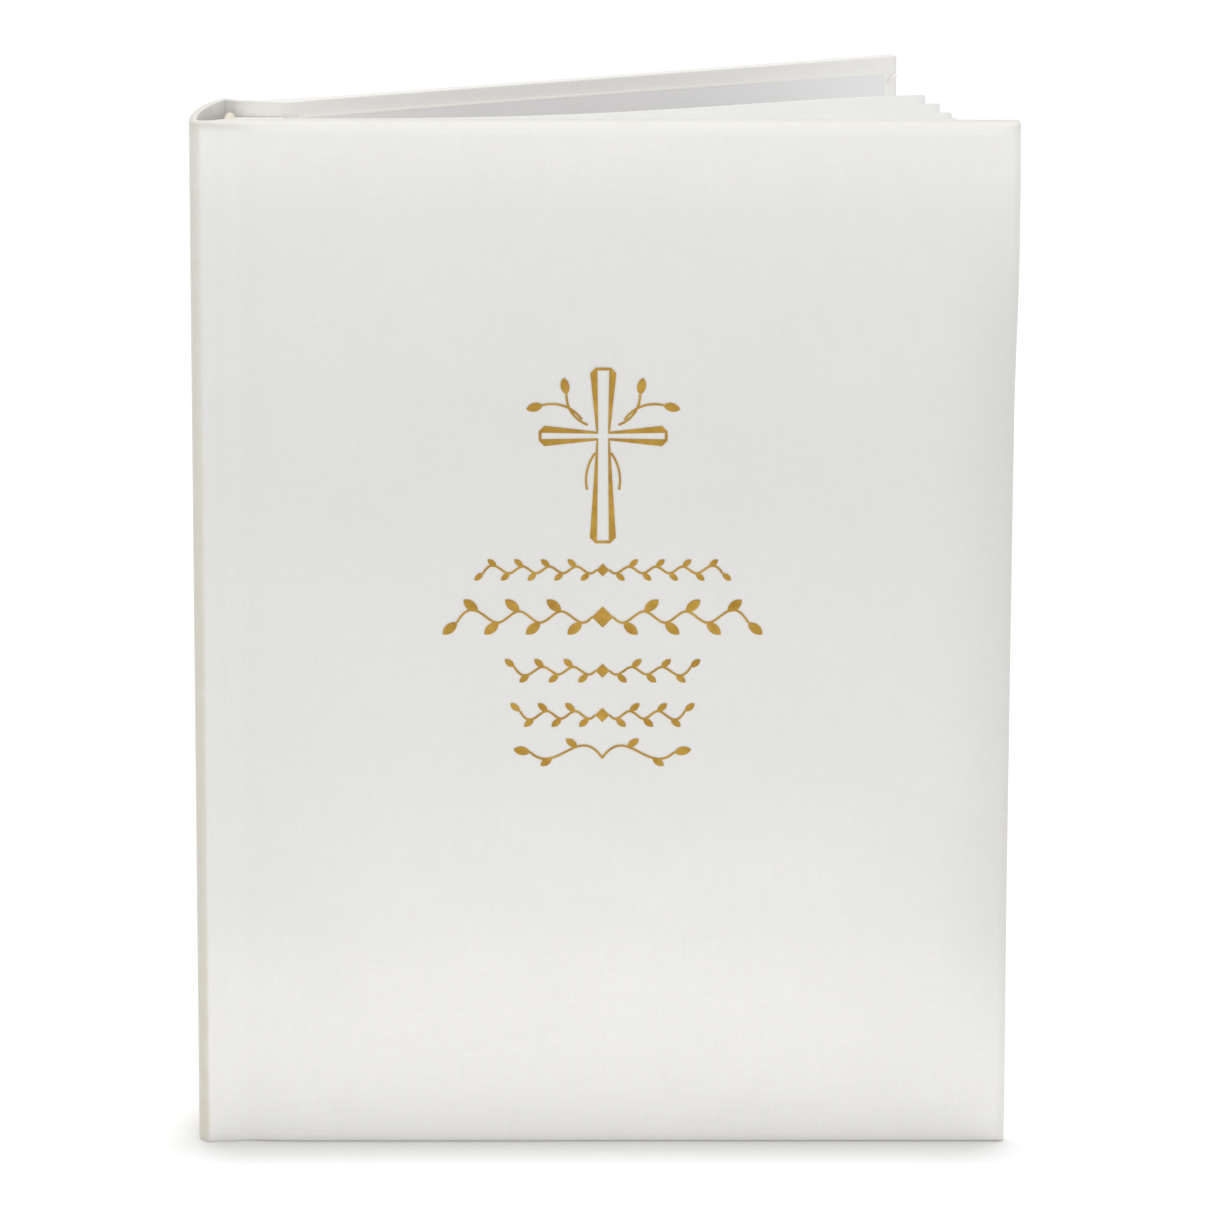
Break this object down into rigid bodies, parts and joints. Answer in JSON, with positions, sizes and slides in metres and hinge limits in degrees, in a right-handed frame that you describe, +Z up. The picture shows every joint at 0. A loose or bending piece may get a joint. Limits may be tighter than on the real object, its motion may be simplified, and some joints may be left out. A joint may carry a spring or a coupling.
{
  "type": "wedding guest book",
  "caption": "Thick cloth-covered guest book with a padded front cover, hollow back, fanned card leaves and gold foil cross and vine bands.",
  "frame": {"origin": "middle of the bounding box on the surface the book stands on, in its stored, slightly open pose", "axes": "+Z up along the spine, -Y out of the front cover, +X from the spine to the fore-edge"},
  "size_m": [0.2474, 0.1574, 0.315],
  "materials": {
    "cover_cloth": "satin",
    "foam": "matte",
    "greyboard": "matte",
    "endpaper": "matte",
    "infill_paper": "matte",
    "leaf_card": "matte",
    "guard_card": "matte",
    "mull_gauze": "matte",
    "kraft_paper": "matte",
    "band_thread": "satin",
    "gold_foil": "satin"
  },
  "bodies": {
    "spine_and_block": {"spine_cloth": "cover_cloth", "spine_board": "greyboard", "mull": "mull_gauze", "spine_lining": "kraft_paper", "headband": "band_thread", "tailband": "band_thread", "guards": "guard_card", "leaf_stubs": "leaf_card"},
    "front_cover": {"front_cover_cloth": "cover_cloth", "front_padding": "foam", "front_board": "greyboard", "front_infill": "infill_paper", "front_pastedown": "endpaper", "foil_cross": "gold_foil", "foil_sprigs": "gold_foil", "foil_band_1": "gold_foil", "foil_band_2": "gold_foil", "foil_band_3": "gold_foil", "foil_band_4": "gold_foil", "foil_flourish": "gold_foil"},
    "back_cover": {"back_cover_cloth": "cover_cloth", "back_padding": "foam", "back_board": "greyboard", "back_infill": "infill_paper", "back_pastedown": "endpaper"},
    "front_flyleaf": {"front_flyleaf": "endpaper"},
    "leaf_01": {"leaf_01": "leaf_card"},
    "leaf_02": {"leaf_02": "leaf_card"},
    "leaf_03": {"leaf_03": "leaf_card"},
    "leaf_04": {"leaf_04": "leaf_card"},
    "leaf_05": {"leaf_05": "leaf_card"},
    "leaf_06": {"leaf_06": "leaf_card"},
    "leaf_07": {"leaf_07": "leaf_card"},
    "leaf_08": {"leaf_08": "leaf_card"},
    "leaf_09": {"leaf_09": "leaf_card"},
    "leaf_10": {"leaf_10": "leaf_card"},
    "leaf_11": {"leaf_11": "leaf_card"},
    "leaf_12": {"leaf_12": "leaf_card"},
    "leaf_13": {"leaf_13": "leaf_card"},
    "leaf_14": {"leaf_14": "leaf_card"},
    "leaf_15": {"leaf_15": "leaf_card"},
    "leaf_16": {"leaf_16": "leaf_card"},
    "leaf_17": {"leaf_17": "leaf_card"},
    "leaf_18": {"leaf_18": "leaf_card"},
    "leaf_19": {"leaf_19": "leaf_card"},
    "leaf_20": {"leaf_20": "leaf_card"},
    "leaf_21": {"leaf_21": "leaf_card"},
    "leaf_22": {"leaf_22": "leaf_card"},
    "leaf_23": {"leaf_23": "leaf_card"},
    "leaf_24": {"leaf_24": "leaf_card"},
    "back_flyleaf": {"back_flyleaf": "endpaper"}
  },
  "joints": [
    {"name": "front_cover_hinge", "type": "hinge", "parent": "spine_and_block", "child": "front_cover", "pos_m": [-0.109, -0.07083, 0.1575], "axis": [0, 0, -1], "range_deg": [0, 100]},
    {"name": "back_cover_hinge", "type": "hinge", "parent": "spine_and_block", "child": "back_cover", "pos_m": [-0.096, -0.03368, 0.1575], "axis": [0, 0, 1], "range_deg": [-29.5, 75]},
    {"name": "front_flyleaf_crease", "type": "hinge", "parent": "spine_and_block", "child": "front_flyleaf", "pos_m": [-0.096, -0.06903, 0.1575], "axis": [0, 0, -1], "range_deg": [0, 52.4]},
    {"name": "leaf_01_crease", "type": "hinge", "parent": "spine_and_block", "child": "leaf_01", "pos_m": [-0.096, -0.06778, 0.1575], "axis": [0, 0, -1], "range_deg": [0, 52.2]},
    {"name": "leaf_02_crease", "type": "hinge", "parent": "spine_and_block", "child": "leaf_02", "pos_m": [-0.096, -0.06643, 0.1575], "axis": [0, 0, -1], "range_deg": [0, 52]},
    {"name": "leaf_03_crease", "type": "hinge", "parent": "spine_and_block", "child": "leaf_03", "pos_m": [-0.096, -0.06508, 0.1575], "axis": [0, 0, -1], "range_deg": [0, 37.8]},
    {"name": "leaf_04_crease", "type": "hinge", "parent": "spine_and_block", "child": "leaf_04", "pos_m": [-0.096, -0.06373, 0.1575], "axis": [0, 0, -1], "range_deg": [0, 37.6]},
    {"name": "leaf_05_crease", "type": "hinge", "parent": "spine_and_block", "child": "leaf_05", "pos_m": [-0.096, -0.06238, 0.1575], "axis": [0, 0, -1], "range_deg": [0, 37.4]},
    {"name": "leaf_06_crease", "type": "hinge", "parent": "spine_and_block", "child": "leaf_06", "pos_m": [-0.096, -0.06103, 0.1575], "axis": [0, 0, -1], "range_deg": [0, 22.2]},
    {"name": "leaf_07_crease", "type": "hinge", "parent": "spine_and_block", "child": "leaf_07", "pos_m": [-0.096, -0.05968, 0.1575], "axis": [0, 0, -1], "range_deg": [0, 22]},
    {"name": "leaf_08_crease", "type": "hinge", "parent": "spine_and_block", "child": "leaf_08", "pos_m": [-0.096, -0.05833, 0.1575], "axis": [0, 0, -1], "range_deg": [0, 21.8]},
    {"name": "leaf_09_crease", "type": "hinge", "parent": "spine_and_block", "child": "leaf_09", "pos_m": [-0.096, -0.05698, 0.1575], "axis": [0, 0, -1], "range_deg": [0, 14.6]},
    {"name": "leaf_10_crease", "type": "hinge", "parent": "spine_and_block", "child": "leaf_10", "pos_m": [-0.096, -0.05563, 0.1575], "axis": [0, 0, -1], "range_deg": [0, 14.4]},
    {"name": "leaf_11_crease", "type": "hinge", "parent": "spine_and_block", "child": "leaf_11", "pos_m": [-0.096, -0.05428, 0.1575], "axis": [0, 0, -1], "range_deg": [0, 14.2]},
    {"name": "leaf_12_crease", "type": "hinge", "parent": "spine_and_block", "child": "leaf_12", "pos_m": [-0.096, -0.05293, 0.1575], "axis": [0, 0, -1], "range_deg": [0, 14]},
    {"name": "leaf_13_crease", "type": "hinge", "parent": "spine_and_block", "child": "leaf_13", "pos_m": [-0.096, -0.05158, 0.1575], "axis": [0, 0, 1], "range_deg": [-4.13, 10.5]},
    {"name": "leaf_14_crease", "type": "hinge", "parent": "spine_and_block", "child": "leaf_14", "pos_m": [-0.096, -0.05023, 0.1575], "axis": [0, 0, 1], "range_deg": [-4.19, 10.65]},
    {"name": "leaf_15_crease", "type": "hinge", "parent": "spine_and_block", "child": "leaf_15", "pos_m": [-0.096, -0.04888, 0.1575], "axis": [0, 0, 1], "range_deg": [-4.25, 10.8]},
    {"name": "leaf_16_crease", "type": "hinge", "parent": "spine_and_block", "child": "leaf_16", "pos_m": [-0.096, -0.04753, 0.1575], "axis": [0, 0, 1], "range_deg": [-4.31, 10.95]},
    {"name": "leaf_17_crease", "type": "hinge", "parent": "spine_and_block", "child": "leaf_17", "pos_m": [-0.096, -0.04618, 0.1575], "axis": [0, 0, 1], "range_deg": [-6.43, 16.35]},
    {"name": "leaf_18_crease", "type": "hinge", "parent": "spine_and_block", "child": "leaf_18", "pos_m": [-0.096, -0.04483, 0.1575], "axis": [0, 0, 1], "range_deg": [-6.49, 16.5]},
    {"name": "leaf_19_crease", "type": "hinge", "parent": "spine_and_block", "child": "leaf_19", "pos_m": [-0.096, -0.04348, 0.1575], "axis": [0, 0, 1], "range_deg": [-6.55, 16.65]},
    {"name": "leaf_20_crease", "type": "hinge", "parent": "spine_and_block", "child": "leaf_20", "pos_m": [-0.096, -0.04213, 0.1575], "axis": [0, 0, 1], "range_deg": [-11.03, 28.05]},
    {"name": "leaf_21_crease", "type": "hinge", "parent": "spine_and_block", "child": "leaf_21", "pos_m": [-0.096, -0.04078, 0.1575], "axis": [0, 0, 1], "range_deg": [-11.09, 28.2]},
    {"name": "leaf_22_crease", "type": "hinge", "parent": "spine_and_block", "child": "leaf_22", "pos_m": [-0.096, -0.03943, 0.1575], "axis": [0, 0, 1], "range_deg": [-11.15, 28.35]},
    {"name": "leaf_23_crease", "type": "hinge", "parent": "spine_and_block", "child": "leaf_23", "pos_m": [-0.096, -0.03808, 0.1575], "axis": [0, 0, 1], "range_deg": [-15.34, 39]},
    {"name": "leaf_24_crease", "type": "hinge", "parent": "spine_and_block", "child": "leaf_24", "pos_m": [-0.096, -0.03673, 0.1575], "axis": [0, 0, 1], "range_deg": [-15.4, 39.15]},
    {"name": "back_flyleaf_crease", "type": "hinge", "parent": "spine_and_block", "child": "back_flyleaf", "pos_m": [-0.096, -0.03548, 0.1575], "axis": [0, 0, 1], "range_deg": [-15.46, 39.3]}
  ],
  "couplings": [
    {"joint": "front_flyleaf_crease", "follows": "front_cover_hinge", "ratio": 0.524},
    {"joint": "leaf_01_crease", "follows": "front_cover_hinge", "ratio": 0.522},
    {"joint": "leaf_02_crease", "follows": "front_cover_hinge", "ratio": 0.52},
    {"joint": "leaf_03_crease", "follows": "front_cover_hinge", "ratio": 0.378},
    {"joint": "leaf_04_crease", "follows": "front_cover_hinge", "ratio": 0.376},
    {"joint": "leaf_05_crease", "follows": "front_cover_hinge", "ratio": 0.374},
    {"joint": "leaf_06_crease", "follows": "front_cover_hinge", "ratio": 0.222},
    {"joint": "leaf_07_crease", "follows": "front_cover_hinge", "ratio": 0.22},
    {"joint": "leaf_08_crease", "follows": "front_cover_hinge", "ratio": 0.218},
    {"joint": "leaf_09_crease", "follows": "front_cover_hinge", "ratio": 0.146},
    {"joint": "leaf_10_crease", "follows": "front_cover_hinge", "ratio": 0.144},
    {"joint": "leaf_11_crease", "follows": "front_cover_hinge", "ratio": 0.142},
    {"joint": "leaf_12_crease", "follows": "front_cover_hinge", "ratio": 0.14},
    {"joint": "leaf_13_crease", "follows": "back_cover_hinge", "ratio": 0.14},
    {"joint": "leaf_14_crease", "follows": "back_cover_hinge", "ratio": 0.142},
    {"joint": "leaf_15_crease", "follows": "back_cover_hinge", "ratio": 0.144},
    {"joint": "leaf_16_crease", "follows": "back_cover_hinge", "ratio": 0.146},
    {"joint": "leaf_17_crease", "follows": "back_cover_hinge", "ratio": 0.218},
    {"joint": "leaf_18_crease", "follows": "back_cover_hinge", "ratio": 0.22},
    {"joint": "leaf_19_crease", "follows": "back_cover_hinge", "ratio": 0.222},
    {"joint": "leaf_20_crease", "follows": "back_cover_hinge", "ratio": 0.374},
    {"joint": "leaf_21_crease", "follows": "back_cover_hinge", "ratio": 0.376},
    {"joint": "leaf_22_crease", "follows": "back_cover_hinge", "ratio": 0.378},
    {"joint": "leaf_23_crease", "follows": "back_cover_hinge", "ratio": 0.52},
    {"joint": "leaf_24_crease", "follows": "back_cover_hinge", "ratio": 0.522},
    {"joint": "back_flyleaf_crease", "follows": "back_cover_hinge", "ratio": 0.524}
  ]
}
